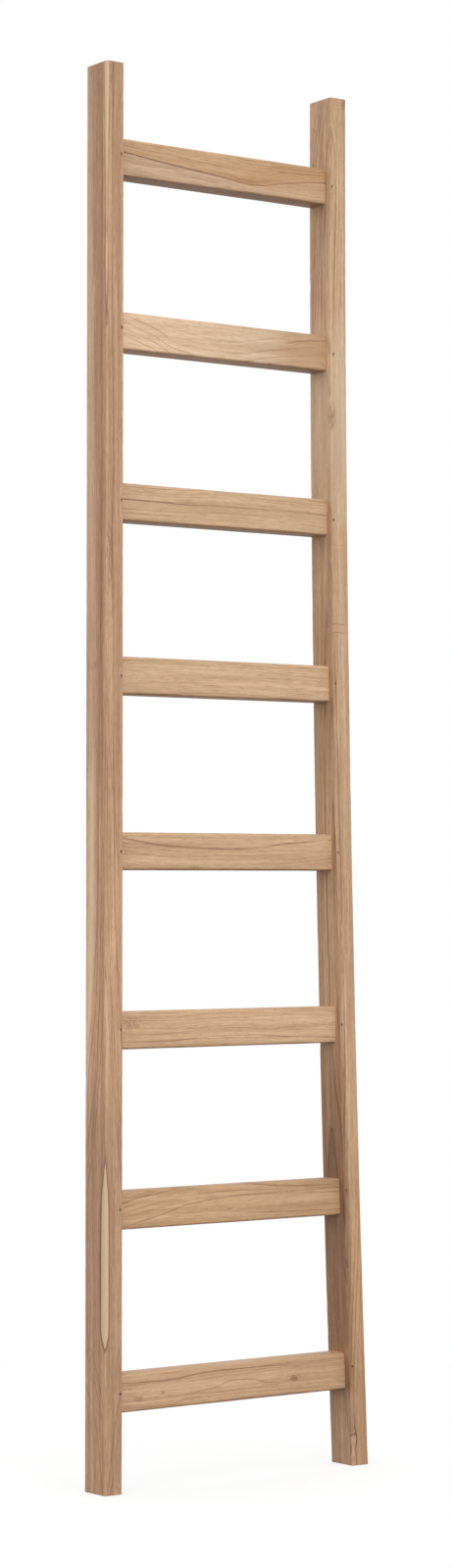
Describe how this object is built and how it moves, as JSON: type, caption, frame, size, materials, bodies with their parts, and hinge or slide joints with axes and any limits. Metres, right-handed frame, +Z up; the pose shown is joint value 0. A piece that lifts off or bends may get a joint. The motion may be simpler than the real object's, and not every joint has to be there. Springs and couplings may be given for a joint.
{
  "type": "blanket ladder",
  "caption": "Tall leaning ladder of solid wood for hanging blankets: tapering stiles, rounded rungs tenoned into their inner faces and pinned from the front.",
  "frame": {"origin": "on the floor, midway between the feet and midway between the stiles' fronts and backs", "axes": "+Z up along the ladder, +X across it towards the bowed right stile, the front looks towards -Y"},
  "size_m": [0.439, 0.048, 1.9],
  "materials": {
    "stile_wood": "matte, bare sanded teak-like wood, pinkish brown with pale streaks",
    "rung_wood": "matte, bare sanded teak-like wood, honey brown",
    "pin_steel": "dark, dull"
  },
  "bodies": {
    "root": {"left_stile": "stile_wood", "right_stile": "stile_wood", "rung_1": "rung_wood", "rung_2": "rung_wood", "rung_3": "rung_wood", "rung_4": "rung_wood", "rung_5": "rung_wood", "rung_6": "rung_wood", "rung_7": "rung_wood", "rung_8": "rung_wood", "left_pin_1": "pin_steel", "left_pin_2": "pin_steel", "left_pin_3": "pin_steel", "left_pin_4": "pin_steel", "left_pin_5": "pin_steel", "left_pin_6": "pin_steel", "left_pin_7": "pin_steel", "left_pin_8": "pin_steel", "right_pin_1": "pin_steel", "right_pin_2": "pin_steel", "right_pin_3": "pin_steel", "right_pin_4": "pin_steel", "right_pin_5": "pin_steel", "right_pin_6": "pin_steel", "right_pin_7": "pin_steel", "right_pin_8": "pin_steel"}
  },
  "joints": []
}
